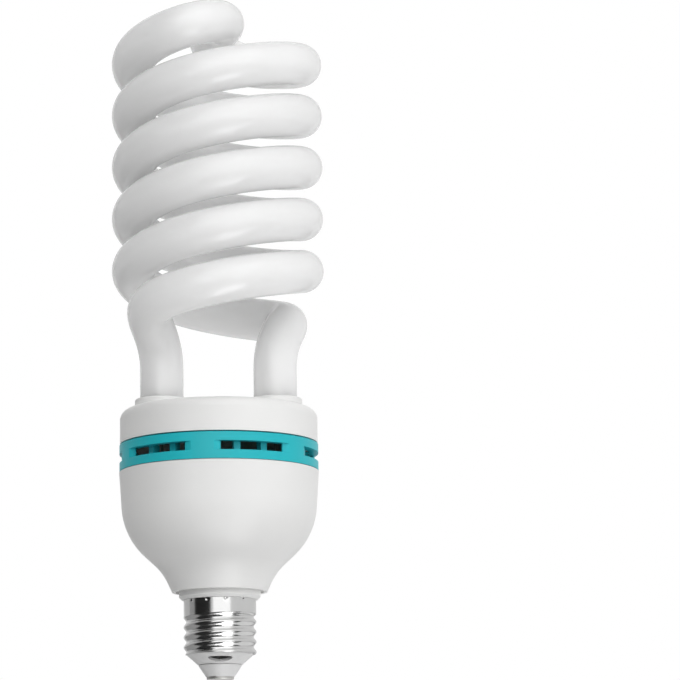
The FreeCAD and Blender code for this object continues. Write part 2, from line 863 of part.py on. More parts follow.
export("fuse_resistor", cylinder(fuse_radius, solder_height - fuse_length, solder_height,
                                 fuse_x, fuse_y))
export("rectifier_diodes", make_axial_parts(diode_radius, diode_length, diode_count, diode_x))
export("small_resistors", make_axial_parts(resistor_radius, resistor_length, resistor_count,
                                           resistor_x))
export("wrap_pins", make_wrap_pins())
export("lead_wires_left", make_lead_wires(-leg_place))
export("lead_wires_right", make_lead_wires(leg_place))
export("shell_wire", make_shell_wire())
export("contact_wire", make_contact_wire())
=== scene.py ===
# %% [markdown]
# # A spiral energy saving bulb
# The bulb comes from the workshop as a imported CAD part. This file dresses it: it gives every
# solid a finish, and it makes anew those pieces whose surface needs more than the CAD mesh has.
# Z runs up along the bulb's axis, and the origin is at the centre contact. Sizes of the bulb are
# written in millimetres, as on a drawing, and one factor turns them to metres. The room, with its
# lamps, cards and camera, is written in metres.

import json
import math

import bmesh
import bpy
import numpy as np
from mathutils import Matrix, Vector


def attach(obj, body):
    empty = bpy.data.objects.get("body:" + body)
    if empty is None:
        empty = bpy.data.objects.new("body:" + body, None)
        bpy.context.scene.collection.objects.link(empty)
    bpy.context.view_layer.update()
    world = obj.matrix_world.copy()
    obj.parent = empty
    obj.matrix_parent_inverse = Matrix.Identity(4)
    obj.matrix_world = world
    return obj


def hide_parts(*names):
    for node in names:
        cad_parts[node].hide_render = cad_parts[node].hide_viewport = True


MM = 0.001
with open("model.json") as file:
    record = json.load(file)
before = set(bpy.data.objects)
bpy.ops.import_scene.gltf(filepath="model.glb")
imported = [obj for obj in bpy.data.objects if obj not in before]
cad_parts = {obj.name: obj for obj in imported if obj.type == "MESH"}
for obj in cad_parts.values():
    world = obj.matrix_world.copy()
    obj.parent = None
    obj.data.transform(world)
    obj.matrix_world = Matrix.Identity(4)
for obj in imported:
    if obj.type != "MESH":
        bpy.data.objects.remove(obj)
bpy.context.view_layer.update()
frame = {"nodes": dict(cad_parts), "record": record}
scene = bpy.context.scene

# %% [markdown]
# ## Colours and nodes
# Colours are written as hex values, as a colour picker shows them. Those are made for the screen,
# while Cycles adds up light and needs linear values, so one function turns the first into the
# second. A second function adds a node, sets what is fixed and links what comes from another node.


# %% Two helpers for materials
def linear(hex_colour):
    """Linear RGBA from an sRGB hex value such as "4FA3A9", by the standard's own formula."""
    values = []
    for i in (0, 2, 4):
        v = int(hex_colour[i:i + 2], 16) / 255
        values.append(v / 12.92 if v <= 0.04045 else ((v + 0.055) / 1.055) ** 2.4)
    return (*values, 1.0)


def add(tree, kind, inputs=None, **settings):
    """Adds a node with its settings and inputs, and returns it.

    An input is a value, or the socket of another node to link from. It goes by its name, or by
    its place, counted from 0, where several inputs share one name.
    """
    node = tree.nodes.new(kind)
    for name, value in settings.items():
        setattr(node, name, value)
    for name, value in (inputs or {}).items():
        if isinstance(value, bpy.types.NodeSocket):
            tree.links.new(value, node.inputs[name])
        else:
            node.inputs[name].default_value = value
    return node


print("linear white:", linear("FFFFFF"))

# %% [markdown]
# ## A finish from the way a surface was made
# Most pieces of a bulb are moulded, drawn, sintered or dipped. Each such surface has a colour
# that drifts a little, a gloss that drifts with it, and a fine relief. So one function builds all
# three from two noises on Object coordinates: a wide one for the drift and a fine one for the
# relief. What differs from finish to finish is only the numbers, and their sizes are in
# millimetres.

# %% One function for a surface with drift and relief
drift_detail = 3.0
grain_detail = 2.0
relief_strength = 0.5

# The Mix node has its sockets once for each kind of value, so those for colours go by place.
mix_share, mix_from, mix_to, mix_result = 0, 6, 7, 2


def surface(name, pale, deep, roughness, drift_mm, grain_mm, relief_mm, stretch=(1, 1, 1),
            spread=0.04, **shader):
    """A material whose colour and gloss drift, with a fine relief.

    The colour drifts between pale and deep, and the roughness by spread to both sides. Any
    other input of the shader is given by its name, with _ for a space.
    """
    material = bpy.data.materials.new(name)
    material.use_nodes = True
    tree = material.node_tree
    tree.nodes.clear()
    place = add(tree, "ShaderNodeTexCoord")
    stretched = add(tree, "ShaderNodeMapping", {"Vector": place.outputs["Object"],
                                                "Scale": stretch})
    drift = add(tree, "ShaderNodeTexNoise", {"Vector": stretched.outputs["Vector"],
                                             "Scale": 1 / (drift_mm * MM),
                                             "Detail": drift_detail})
    grain = add(tree, "ShaderNodeTexNoise", {"Vector": stretched.outputs["Vector"],
                                             "Scale": 1 / (grain_mm * MM),
                                             "Detail": grain_detail})
    colour = add(tree, "ShaderNodeMix", {mix_share: drift.outputs["Fac"],
                                         mix_from: linear(deep), mix_to: linear(pale)},
                 data_type="RGBA")
    gloss = add(tree, "ShaderNodeMapRange", {"Value": drift.outputs["Fac"],
                                             "To Min": roughness - spread,
                                             "To Max": roughness + spread})
    bump = add(tree, "ShaderNodeBump", {"Height": grain.outputs["Fac"],
                                        "Strength": relief_strength,
                                        "Distance": relief_mm * MM})
    values = {"Base Color": colour.outputs[mix_result], "Roughness": gloss.outputs["Result"],
              "Normal": bump.outputs["Normal"]}
    for key, value in shader.items():
        values[key.replace("_", " ")] = value
    principled = add(tree, "ShaderNodeBsdfPrincipled", values)
    add(tree, "ShaderNodeOutputMaterial", {"Surface": principled.outputs["BSDF"]})
    return material


# %% [markdown]
# ## The finishes that show
# The tube is clear glass with a white phosphor powder on its inside. The eye sees a chalky white
# through a smooth, wet looking skin, so the colour sits under a thin coat that is glossier than
# what lies below it. The housing is white PBT, moulded in a mould with a fine spark texture: it
# has a soft, broad sheen. The vent ring is the same plastic with a teal pigment. The screw shell
# is brass, pressed and rolled and then bright nickel plated, and it mirrors the room.

# %% Glass, plastics and metals that show
finish = {}

# Powder behind glass: light sinks in a little, and a clear skin shows the lamps.
finish["opal_glass"] = surface(
    "phosphor_coated_glass", "F2F2F2", "EFEFEF", roughness=0.42, drift_mm=18, grain_mm=9,
    relief_mm=0.02, IOR=1.47, Coat_Weight=0.9, Coat_Roughness=0.07, Subsurface_Weight=1.0,
    Subsurface_Radius=(1.0, 1.0, 1.0), Subsurface_Scale=0.03)

# Moulded PBT: even colour and a soft sheen from the fine texture of the mould.
finish["white_plastic"] = surface(
    "moulded_white_PBT", "EBEBEA", "E8E8E7", roughness=0.42, drift_mm=14, grain_mm=0.45,
    relief_mm=0.004, IOR=1.5)

# The insulator of the cap is the same plastic, a shade greyer.
finish["cap_plastic"] = surface(
    "moulded_pale_grey_PBT", "E2E2E2", "DCDCDC", roughness=0.45, drift_mm=6, grain_mm=0.4,
    relief_mm=0.004, IOR=1.5)

# The pigment takes part of the sheen away, so the ring looks flatter than the white pieces.
finish["teal_plastic"] = surface(
    "moulded_teal_PBT", "2AB9C3", "26B3BD", roughness=0.36, drift_mm=10, grain_mm=0.45,
    relief_mm=0.004, IOR=1.5, Specular_IOR_Level=0.25)

# Plating over a deep drawn cup: a mirror with faint waves along the height, as the brass flowed.
finish["nickel"] = surface(
    "bright_nickel_plate", "E2E2E2", "D6D6D5", roughness=0.17, drift_mm=5, grain_mm=2.2,
    relief_mm=0.012, stretch=(1, 1, 0.35), spread=0.02, Metallic=1.0)

# A dull grey disc of stamped steel with a thin skin of tin.
finish["contact_metal"] = surface(
    "tin_plated_steel_disc", "D6D5D3", "CAC9C6", roughness=0.5, drift_mm=2, grain_mm=0.3,
    relief_mm=0.006, Metallic=1.0)
print("finishes that show:", ", ".join(finish))

# %% [markdown]
# ## The finishes inside
# The parts on the circuit board can be seen only through the vent slots, or when somebody takes
# the bulb apart in another scene. They get the same care: each finish is named for what the real
# one is, and where a sheet was rolled or a wire was wound, its pattern is stretched that way.

# %% The board and what holds things in place
# Pressed paper and resin: tan, with a faint grain along one side.
finish["board_laminate"] = surface(
    "phenolic_paper_laminate", "B39A5C", "A68B4E", roughness=0.5, drift_mm=6, grain_mm=0.4,
    relief_mm=0.01, stretch=(1, 0.3, 1))

# Cement is poured by hand and sets lumpy and dull.
finish["cement"] = surface(
    "silicone_cement", "E6E4DC", "DAD7CC", roughness=0.6, drift_mm=3, grain_mm=1.2,
    relief_mm=0.15)

# A dark phenolic moulding, smooth but not bright.
finish["bobbin_plastic"] = surface(
    "moulded_phenolic", "2B2A29", "222120", roughness=0.45, drift_mm=3, grain_mm=0.4,
    relief_mm=0.006)

# Extruded vinyl: a soft white skin.
finish["wire_insulation"] = surface(
    "extruded_white_vinyl", "E4E3DF", "DAD9D4", roughness=0.4, drift_mm=3, grain_mm=1.5,
    relief_mm=0.01)
print(len(finish), "finishes so far")

# %% Metals on the board
# The lacquer on a winding is clear, so the copper shines through in thin lines along the wire.
finish["copper_wire"] = surface(
    "enamelled_copper_wire", "B5622F", "9C4F22", roughness=0.28, drift_mm=1.2, grain_mm=0.5,
    relief_mm=0.15, stretch=(0.2, 0.2, 3), Metallic=1.0)

# Tin from a solder bath: bright grey.
finish["tinned_metal"] = surface(
    "tinned_copper", "D2D2D0", "C2C2BF", roughness=0.3, drift_mm=1, grain_mm=0.4, relief_mm=0.01,
    Metallic=1.0)

# Rolled sheet has fine lines along the way it was rolled.
finish["sheet_aluminium"] = surface(
    "rolled_aluminium_sheet", "CFCFCF", "BFC0C1", roughness=0.35, drift_mm=4, grain_mm=0.5,
    relief_mm=0.01, stretch=(0.1, 1, 1), Metallic=1.0)
print(len(finish), "finishes so far")

# %% Bodies of the components
# Vinyl sleeve shrunk over a can: near black and glossy.
finish["capacitor_sleeve"] = surface(
    "shrunk_vinyl_sleeve", "2A2C33", "202227", roughness=0.3, drift_mm=5, grain_mm=0.8,
    relief_mm=0.01)

# Sintered ferrite is a ceramic: dark grey and matt, with a fine tooth.
finish["ferrite"] = surface(
    "sintered_ferrite", "3A3A3B", "2E2E2F", roughness=0.6, drift_mm=2, grain_mm=0.25,
    relief_mm=0.02)

# Epoxy filled with quartz and moulded round a chip: matt black.
finish["black_moulding"] = surface(
    "black_epoxy_moulding", "232323", "1B1B1B", roughness=0.5, drift_mm=1.5, grain_mm=0.2,
    relief_mm=0.01)

# Dipped epoxy runs smooth before it sets, so it is the glossiest of them.
finish["film_capacitor"] = surface(
    "dipped_red_epoxy", "A8321F", "962A19", roughness=0.22, drift_mm=4, grain_mm=2.0,
    relief_mm=0.05)

# The case of the box capacitor is a smooth yellow moulding.
finish["box_capacitor"] = surface(
    "moulded_yellow_case", "D9B02A", "CBA222", roughness=0.42, drift_mm=3, grain_mm=0.4,
    relief_mm=0.006)

# Lacquer over a ceramic rod: sand coloured, half glossy.
finish["resistor_body"] = surface(
    "ceramic_lacquer", "C9B78E", "BBA77C", roughness=0.4, drift_mm=1, grain_mm=0.5,
    relief_mm=0.02)
print(len(finish), "finishes in all")

# %% [markdown]
# ## The CAD solids that stay
# Covers, rings and parts on the board have the right shape already, so they stay as they are and
# only get their finish. The record says which material slot each of them belongs to.

# %% Give every CAD solid its finish
for entry in frame["record"]["subparts"]:
    solid = frame["nodes"][entry["node"]]
    solid.data.materials.clear()
    solid.data.materials.append(finish[entry["material_slot"]])
print(len(frame["nodes"]), "solids dressed")

# %% [markdown]
# ## Putting a new piece in place of a solid
# Three pieces are made anew below. Each gets the finish of its slot, unless it has one already,
# hangs on the root body of the bulb and hides the CAD solid that it stands for. Each has to say
# what it rides on, which slot its finish belongs to and which solid it stands for, so that other
# tools know it as part of the bulb. A modifier is always worked into a plain mesh first, so that
# each piece ends as a plain mesh.


# %% Helpers that finish and declare a piece
def worked_in(piece):
    """Works the modifiers of a piece into its mesh and removes them."""
    bpy.context.view_layer.update()
    ready = piece.evaluated_get(bpy.context.evaluated_depsgraph_get())
    mesh = bpy.data.meshes.new_from_object(ready)
    piece.modifiers.clear()
    piece.data = mesh
    mesh.name = piece.name


def declare(piece, slot, node):
    """Gives a piece its finish, if it has none yet, hangs it on the root and hides the CAD solid it
    stands for.
    """
    if not piece.data.materials:
        piece.data.materials.append(finish[slot])
    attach(piece, "root")
    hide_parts(node)
    print(piece.name, "stands for", node, "with", len(piece.data.vertices), "points")


# %% [markdown]
# ## The path of the spiral tube
# The tube is one length of glass, heated and wound on a mandrel with two grooves, so both strands
# come from the same hairpin. Seen as geometry: from the middle of the top bend one strand runs
# into a helix, goes down two and a half turns, and bends into a straight leg. The other strand is
# the same line turned by half a turn. A helix is a formula, and the two bends are Bezier curves
# that start and end along the lines which they join, so the whole path is a short list of
# formulas and the glass has no kink. All sizes are those of the CAD solid.

# %% Sizes of the path
coil_radius = 30.9
coil_lead = 39.0
coil_top = 233.59
coil_start = math.radians(58.0)
coil_sweep = math.radians(899.0)
arch_height = 240.99
arch_heading = math.radians(26.5)
arch_pull = 16.0
leg_place = 20.65
leg_top = 112.8
leg_bottom = 91.05
leg_pull_from_coil = 20.5
leg_pull_from_leg = 19.0
print("turns of each strand:", round(coil_sweep / (2 * math.pi), 2))


# %% The helix and the bends
def helix(angle):
    """Point and downward heading of a strand at an angle about the axis."""
    drop = coil_lead / (2 * math.pi)
    point = (coil_radius * math.cos(angle), coil_radius * math.sin(angle),
             coil_top + drop * (angle - coil_start))
    heading = Vector((coil_radius * math.sin(angle), -coil_radius * math.cos(angle), -drop))
    return point, tuple(heading.normalized())


def bend(start, end, pulls, count):
    """Bezier curve that leaves one line and enters another without a kink.

    Each line is a point and a heading, and its pull says how far the curve clings to it.
    """
    (a, leaving), (d, entering) = ([np.array(v) for v in line] for line in (start, end))
    b = a + pulls[0] * leaving
    c = d - pulls[1] * entering
    t = np.linspace(0, 1, count, endpoint=False)[:, None]
    u = 1 - t
    return a * u ** 3 + 3 * b * u * u * t + 3 * c * u * t * t + d * t ** 3


coil_end = coil_start - coil_sweep
print("the coil ends", round(helix(coil_end)[0][2], 1), "mm above the contact")

# %% Points along the middle of the glass
arch_points = 28
coil_points = 250
bend_points = 40
leg_points = 6

crown = (0.0, 0.0, arch_height), (-math.sin(arch_heading), math.cos(arch_heading), 0.0)
leg = (-leg_place, 0.0, leg_top), (0.0, 0.0, -1.0)
strand = np.vstack([
    bend(crown, helix(coil_start), (arch_pull, arch_pull), arch_points),
    [helix(a)[0] for a in np.linspace(coil_start, coil_end, coil_points, endpoint=False)],
    bend(helix(coil_end), leg, (leg_pull_from_coil, leg_pull_from_leg), bend_points),
    [(-leg_place, 0.0, z) for z in np.linspace(leg_top, leg_bottom, leg_points)]])
other_strand = strand * (-1, -1, 1)
path = np.vstack([other_strand[:0:-1], strand])
steps = np.linalg.norm(np.diff(path, axis=0), axis=1)
print("length of glass:", round(steps.sum()), "mm in", len(path), "points")

# %% [markdown]
# ## Glass round the path, with Geometry Nodes
# A tube that follows a path is the plainest use of Geometry Nodes: the path becomes a curve, a
# circle is swept along it, and the result gets its finish. The tree has the radius and the number
# of sides as named inputs, so the same tree can make a thinner tube. A profile of 56 sides is
# smooth at this size. Realize Instances comes before Set Material because the export drops
# instances, and the result is turned into a plain mesh.


# %% The tree that sweeps a circle along a path
def sweep_tree():
    """Geometry Nodes that sweep a circle along a path and give the tube its finish."""
    tree = bpy.data.node_groups.new("glass along a path", "GeometryNodeTree")
    sockets = tree.interface
    sockets.new_socket("Path", in_out="INPUT", socket_type="NodeSocketGeometry")
    sockets.new_socket("Radius", in_out="INPUT", socket_type="NodeSocketFloat")
    sockets.new_socket("Sides", in_out="INPUT", socket_type="NodeSocketInt")
    sockets.new_socket("Finish", in_out="INPUT", socket_type="NodeSocketMaterial")
    sockets.new_socket("Glass", in_out="OUTPUT", socket_type="NodeSocketGeometry")
    given = add(tree, "NodeGroupInput")
    curve = add(tree, "GeometryNodeMeshToCurve", {"Mesh": given.outputs["Path"]})
    circle = add(tree, "GeometryNodeCurvePrimitiveCircle",
                 {"Resolution": given.outputs["Sides"], "Radius": given.outputs["Radius"]})
    glass = add(tree, "GeometryNodeCurveToMesh",
                {"Curve": curve.outputs["Curve"], "Profile Curve": circle.outputs["Curve"],
                 "Fill Caps": True})
    smooth = add(tree, "GeometryNodeSetShadeSmooth", {0: glass.outputs["Mesh"]})
    real = add(tree, "GeometryNodeRealizeInstances", {"Geometry": smooth.outputs[0]})
    dressed = add(tree, "GeometryNodeSetMaterial",
                  {"Geometry": real.outputs["Geometry"], "Material": given.outputs["Finish"]})
    add(tree, "NodeGroupOutput", {"Glass": dressed.outputs["Geometry"]})
    return tree


def through_nodes(name, start_mesh, tree, inputs):
    """Runs a mesh through a tree and returns the result as a plain object."""
    piece = bpy.data.objects.new(name, start_mesh)
    scene.collection.objects.link(piece)
    modifier = piece.modifiers.new("nodes", "NODES")
    modifier.node_group = tree
    for item in tree.interface.items_tree:
        if item.in_out == "INPUT" and item.name in inputs:
            modifier[item.identifier] = inputs[item.name]
    worked_in(piece)
    return piece


glass_tree = sweep_tree()
print("inputs of the tree:",
      [item.name for item in glass_tree.interface.items_tree if item.in_out == "INPUT"])

# %% The spiral tube
tube_radius = 7.9
tube_sides = 56

path_mesh = bpy.data.meshes.new("tube path")
path_mesh.from_pydata([tuple(p * MM) for p in path],
                      [(i, i + 1) for i in range(len(path) - 1)], [])
tube = through_nodes("spiral_glass_tube", path_mesh, glass_tree,
                     {"Radius": tube_radius * MM, "Sides": tube_sides,
                      "Finish": finish["opal_glass"]})
declare(tube, "opal_glass", "spiral_tube")

# %% [markdown]
# ## The screw shell
# The shell starts as a deep drawn cup of thin brass. A roller presses the thread into it, and
# because the sheet keeps its thickness the thread is as round outside as inside. So the wall is a
# formula: its radius swings between root and crest as height and angle go round together. Near
# the skirt the swing dies out. The skirt is held on the neck ring by dents, punched in from
# outside. A grid over height and angle takes all of this, with an inner wall one sheet thickness
# behind.

# %% Sizes of the shell
shell_bottom = 9.0
shell_top = 28.7
sheet = 0.4
thread_crest = 13.1
thread_root = 12.15
thread_pitch = 3.629
crest_phase = math.radians(80.0)
skirt_bottom = 23.5
skirt_radius = 13.05
runout_below_skirt = 1.0
runout_height = 1.1
dent_count = 12
dent_phase = math.radians(-110.5)
dent_height = 27.9
dent_size = 0.6
dent_depth = 0.3
dent_squash = 0.9  # makes a dent a little taller than wide
print("thread depth:", round(thread_crest - thread_root, 2), "mm")


# %% Radius of the shell at each angle and height
def smoothstep(t):
    """Rises from 0 to 1 with t, level at both ends."""
    t = np.clip(t, 0, 1)
    return t * t * (3 - 2 * t)


def threaded_wall(angle, height):
    """The round wave of the thread, which dies out where the skirt begins."""
    climb = (height - shell_bottom) / thread_pitch - (angle + crest_phase) / (2 * math.pi)
    swing = (thread_crest - thread_root) / 2
    wall = thread_root + swing + swing * np.cos(2 * math.pi * climb)
    into_skirt = smoothstep((height - skirt_bottom + runout_below_skirt) / runout_height)
    return wall * (1 - into_skirt) + skirt_radius * into_skirt


def dent(angle, height):
    """How deep the nearest punched dent is at this place."""
    turn = 2 * math.pi / dent_count
    aside = (angle - dent_phase + turn / 2) % turn - turn / 2
    off = np.hypot(aside * skirt_radius, (height - dent_height) * dent_squash) / dent_size
    return dent_depth * np.exp(-2 * off ** 2)


print("radius of the skirt:", threaded_wall(0.0, shell_top), "mm")

# %% The grid of the shell
around = 288
thread_levels = 110
skirt_levels = 36

heights = np.concatenate([np.linspace(shell_bottom, skirt_bottom, thread_levels),
                          np.linspace(skirt_bottom, shell_top, skirt_levels)[1:]])
angles = np.linspace(0, 2 * math.pi, around, endpoint=False)
grid_angle, grid_height = np.meshgrid(angles, heights)
outside = threaded_wall(grid_angle, grid_height) - dent(grid_angle, grid_height)


def wall_points(radius):
    """The whole grid of the wall at this radius."""
    return np.stack([radius * np.cos(grid_angle), radius * np.sin(grid_angle), grid_height], -1)


# Up the outside and down the inside, so that the last level meets the first.
shell_points = np.concatenate([wall_points(outside), wall_points(outside - sheet)[::-1]])
levels = len(shell_points)
shell_faces = []
for level in range(levels):
    this_row, next_row = level * around, (level + 1) % levels * around
    for spot in range(around):
        next_spot = (spot + 1) % around
        shell_faces.append((this_row + spot, this_row + next_spot,
                            next_row + next_spot, next_row + spot))

shell_mesh = bpy.data.meshes.new("threaded_screw_shell")
shell_mesh.from_pydata([tuple(p) for p in shell_points.reshape(-1, 3) * MM], [], shell_faces)
shell_mesh.shade_smooth()
shell = bpy.data.objects.new("threaded_screw_shell", shell_mesh)
scene.collection.objects.link(shell)
declare(shell, "nickel", "cap_shell")

# %% [markdown]
# ## The ramps of the vent slots
# Both ends of a vent slot rise to the surface in a shallow ramp, so that the moulding tool can
# slide out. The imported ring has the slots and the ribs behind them, but only a hairline slit in
# place of each ramp. So a copy of it gets the ramps, and the slits go with what is cut: one wedge
# for each end of each slot, all of them one mesh, is taken away in one Boolean. A mesh that comes
# from CAD is loose triangles, so the copy is merged first. The wedges reach a little into the slot,
# past its edges and past the surface, because a Boolean is unsure where two faces coincide.

# %% Sizes of the slots and ramps, with angles in degrees
ring_radius = 36.1
slot_bottom = 78.4
slot_height = 3.3
slot_count = 6
slot_middle = -69.5
slot_half = 23.5
ramp_angle = 4.0
ramp_depth = 1.0
clear = 0.02
into_the_slot = 0.1
past_the_ring = 2.0
past_the_edge = 0.2  # a share of the ramp's length
print("slots every", 360 / slot_count, "degrees")


# %% One wedge for each end of a slot
def on_ring(radius, angle, height):
    """A point at a radius, an angle in degrees and a height."""
    turn = math.radians(angle)
    return np.array([radius * math.cos(turn), radius * math.sin(turn), height])


wedge_sides = [(0, 3, 2, 1), (4, 5, 6, 7), (0, 1, 5, 4), (1, 2, 6, 5), (2, 3, 7, 6),
               (3, 0, 4, 7)]
wedge_points, wedge_faces = [], []
for i in range(slot_count):
    middle_angle = slot_middle + i * 360 / slot_count
    for side in (-1, 1):
        floor_angle = middle_angle + side * (slot_half - ramp_angle - into_the_slot)
        edge_angle = middle_angle + side * slot_half
        first = len(wedge_points)
        for level in (slot_bottom - clear, slot_bottom + slot_height + clear):
            floor = on_ring(ring_radius - ramp_depth - clear, floor_angle, level)
            edge = on_ring(ring_radius, edge_angle, level)
            wedge_points += [floor, edge + (edge - floor) * past_the_edge,
                             on_ring(ring_radius + past_the_ring, edge_angle, level),
                             on_ring(ring_radius + past_the_ring, floor_angle, level)]
        for corners in wedge_sides:
            face = tuple(first + corner for corner in corners)
            # The wedge at the other end is a mirror image, so its faces are turned outwards.
            wedge_faces.append(face[::-1] if side == 1 else face)
print(len(wedge_faces) // len(wedge_sides), "wedges")


# %% Cut them into a copy of the ring
def merged_copy(node, name, distance):
    """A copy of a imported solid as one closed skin."""
    mesh = frame["nodes"][node].data.copy()
    whole = bmesh.new()
    whole.from_mesh(mesh)
    bmesh.ops.remove_doubles(whole, verts=whole.verts, dist=distance)
    whole.to_mesh(mesh)
    whole.free()
    piece = bpy.data.objects.new(name, mesh)
    scene.collection.objects.link(piece)
    return piece


ring = merged_copy("vent_ring", "vent_ring_with_ramps", distance=0.002 * MM)
wedge_mesh = bpy.data.meshes.new("ramp wedges")
wedge_mesh.from_pydata([tuple(p * MM) for p in wedge_points], [], wedge_faces)
wedges = bpy.data.objects.new("ramp wedges", wedge_mesh)
scene.collection.objects.link(wedges)
cut = ring.modifiers.new("ramps", "BOOLEAN")
cut.operation = "DIFFERENCE"
cut.solver = "EXACT"
cut.object = wedges
worked_in(ring)
bpy.data.objects.remove(wedges)
print("faces of the ring:", len(frame["nodes"]["vent_ring"].data.polygons), "before and",
      len(ring.data.polygons), "after the cut")

# %% [markdown]
# ## Light on the cut ring
# The outside of the ring is a cylinder, so its surface points straight away from the axis. Smooth
# shading would mix that with the faces of the slots, and the long thin faces beside a cut would
# show as smudges. So the ring is told, corner by corner, which way its surface points: away from
# the axis on the round outside, and as the face does everywhere else.


# %% Normals of a round outside
def shade_as_cylinder(mesh, radius, slack):
    """Corner normals: straight out from the axis on the round outside, flat elsewhere."""
    nearly_outwards = 0.99
    normals = []
    for face in mesh.polygons:
        for corner in face.vertices:
            place = mesh.vertices[corner].co
            out = Vector((place.x, place.y, 0))
            on_outside = (out.length > radius - slack
                          and face.normal.dot(out) > nearly_outwards * radius)
            normals.append(out.normalized() if on_outside else face.normal.copy())
    mesh.shade_smooth()
    mesh.normals_split_custom_set(normals)


shade_as_cylinder(ring.data, ring_radius * MM, slack=0.05 * MM)
ring.data.materials.clear()
declare(ring, "teal_plastic", "vent_ring")

# %% [markdown]
# ## The room
# The bulb stands in a white room, with soft light from the front on both sides and a lit backdrop
# behind it, whose glow comes through between the strands. The bright cap and the wet skin of the
# glass tell what the room looks like from the bulb: a white panel in front, a dark one on the left
# that fades to grey behind it, and a bright card below. The world is white for the camera, pale
# grey for mirrors and dimmer as a lamp, so that it fills the shadows without washing them out.
# The view transform is Standard, so a colour shows as it is written.

# %% White world
fill_strength = 0.33
world = bpy.data.worlds.new("white room")
world.use_nodes = True
scene.world = world
room = world.node_tree
room.nodes.clear()
room_ray = add(room, "ShaderNodeLightPath")
straight = add(room, "ShaderNodeMath", {0: room_ray.outputs["Is Camera Ray"],
                                        1: room_ray.outputs["Is Transmission Ray"]},
               operation="MAXIMUM")
fill = add(room, "ShaderNodeBackground", {"Color": linear("FFFFFF"),
                                          "Strength": fill_strength})
mirrored_room = add(room, "ShaderNodeBackground", {"Color": linear("DDDDDD"), "Strength": 1.0})
seen_room = add(room, "ShaderNodeBackground", {"Color": linear("FFFFFF"), "Strength": 1.0})
indirect = add(room, "ShaderNodeMixShader", {0: room_ray.outputs["Is Glossy Ray"],
                                             1: fill.outputs["Background"],
                                             2: mirrored_room.outputs["Background"]})
whole_room = add(room, "ShaderNodeMixShader", {0: straight.outputs["Value"],
                                               1: indirect.outputs["Shader"],
                                               2: seen_room.outputs["Background"]})
add(room, "ShaderNodeOutputWorld", {"Surface": whole_room.outputs["Shader"]})
scene.view_settings.view_transform = "Standard"
print("world:", len(room.nodes), "nodes, fill light at", fill_strength)

# %% [markdown]
# ## Soft lights
# A lamp that is wide enough to light a matt surface evenly would burn out a mirror, and a panel
# that looks right in a mirror gives too little light. So the two jobs are split: some panels light
# the bulb and don't show in reflections, and the others show in reflections and light nothing.
# The powers of the lamps were found by rendering the bulb once with each lamp alone and adding
# the results up, because light from several lamps is a plain sum. Places are in degrees and
# metres.


# %% Helpers for places in the room and for lamps
def direction(azimuth, elevation):
    """Unit vector towards a place in the room; azimuth 0 is in front, positive to the right."""
    a, e = math.radians(azimuth), math.radians(elevation)
    return Vector((math.sin(a) * math.cos(e), -math.cos(a) * math.cos(e), math.sin(e)))


bulb_middle = Vector((0, 0, 0.125))


def soft_light(name, at, size, watts, mirrored=False):
    """A soft panel that either lights the bulb, or only shows as a reflection on it.

    It stands at an azimuth, an elevation and a distance from the middle of the bulb, and faces
    the bulb. Its size is its width and height.
    """
    azimuth, elevation, distance = at
    away = direction(azimuth, elevation)
    lamp = bpy.data.lights.new(name, "AREA")
    lamp.shape = "RECTANGLE"
    lamp.size, lamp.size_y = size
    lamp.energy = watts
    holder = bpy.data.objects.new(name, lamp)
    holder.location = bulb_middle + away * distance
    holder.rotation_euler = (-away).to_track_quat("-Z", "Y").to_euler()
    holder.visible_camera = False
    holder.visible_diffuse = not mirrored
    holder.visible_glossy = mirrored
    scene.collection.objects.link(holder)
    print(name, "at", at, "with", watts, "W")


# %% Lamps that light the bulb
soft_light("soft light in front on the left", at=(-35, 40, 1.6), size=(1.2, 1.2), watts=8.5)
soft_light("soft light in front", at=(-12, 33, 1.6), size=(1.4, 1.6), watts=12)
soft_light("soft light in front on the right", at=(42, 15, 1.8), size=(1.2, 1.8), watts=11.5)
soft_light("glow of the backdrop", at=(180, 30, 1.8), size=(2.0, 2.0), watts=14)
soft_light("glow of the backdrop on the right", at=(130, 10, 1.8), size=(2.0, 2.0), watts=10)

# %% Bright panels that only show in mirrors
soft_light("bright panel in front", at=(6, 38, 1.6), size=(2.0, 2.4), watts=12, mirrored=True)
soft_light("bright card below", at=(22, -60, 0.7), size=(0.5, 0.6), watts=2.2, mirrored=True)

# %% [markdown]
# ## Dark and grey cards
# The dark panel is a real card in the scene, and it draws the stripe on the metal. Beyond it a
# grey and a pale card make the stripe fade, as the photograph shows. Low cards, which are dark in
# front, grey behind on the left and dark again on the right, show in the lower flanks of the
# thread. Each card is a flat polygon that the camera doesn't see. Most of them light nothing
# either: they are there for mirrors alone.


# %% Helpers for cards
def card(name, corners, material, **visible):
    """A flat card with these corners; what may see it is given by name."""
    mesh = bpy.data.meshes.new(name)
    mesh.from_pydata([tuple(corner) for corner in corners], [], [tuple(range(len(corners)))])
    mesh.materials.append(material)
    piece = bpy.data.objects.new(name, mesh)
    scene.collection.objects.link(piece)
    for kind_of_ray, shows in visible.items():
        setattr(piece, "visible_" + kind_of_ray, shows)
    print("card:", name)


unseen = {"camera": False, "transmission": False, "shadow": False}
card_distance = 0.9
card_bottom, card_top = -1.2, 2.6
low_card_height = -0.1


def standing_card(name, azimuths, material, **visible):
    """A tall card beside the bulb, from one azimuth to another."""
    low, high = Vector((0, 0, card_bottom)), Vector((0, 0, card_top))
    one_side, other_side = (direction(azimuth, 0) * card_distance for azimuth in azimuths)
    card(name, [one_side + low, other_side + low, other_side + high, one_side + high],
         material, **unseen, **visible)


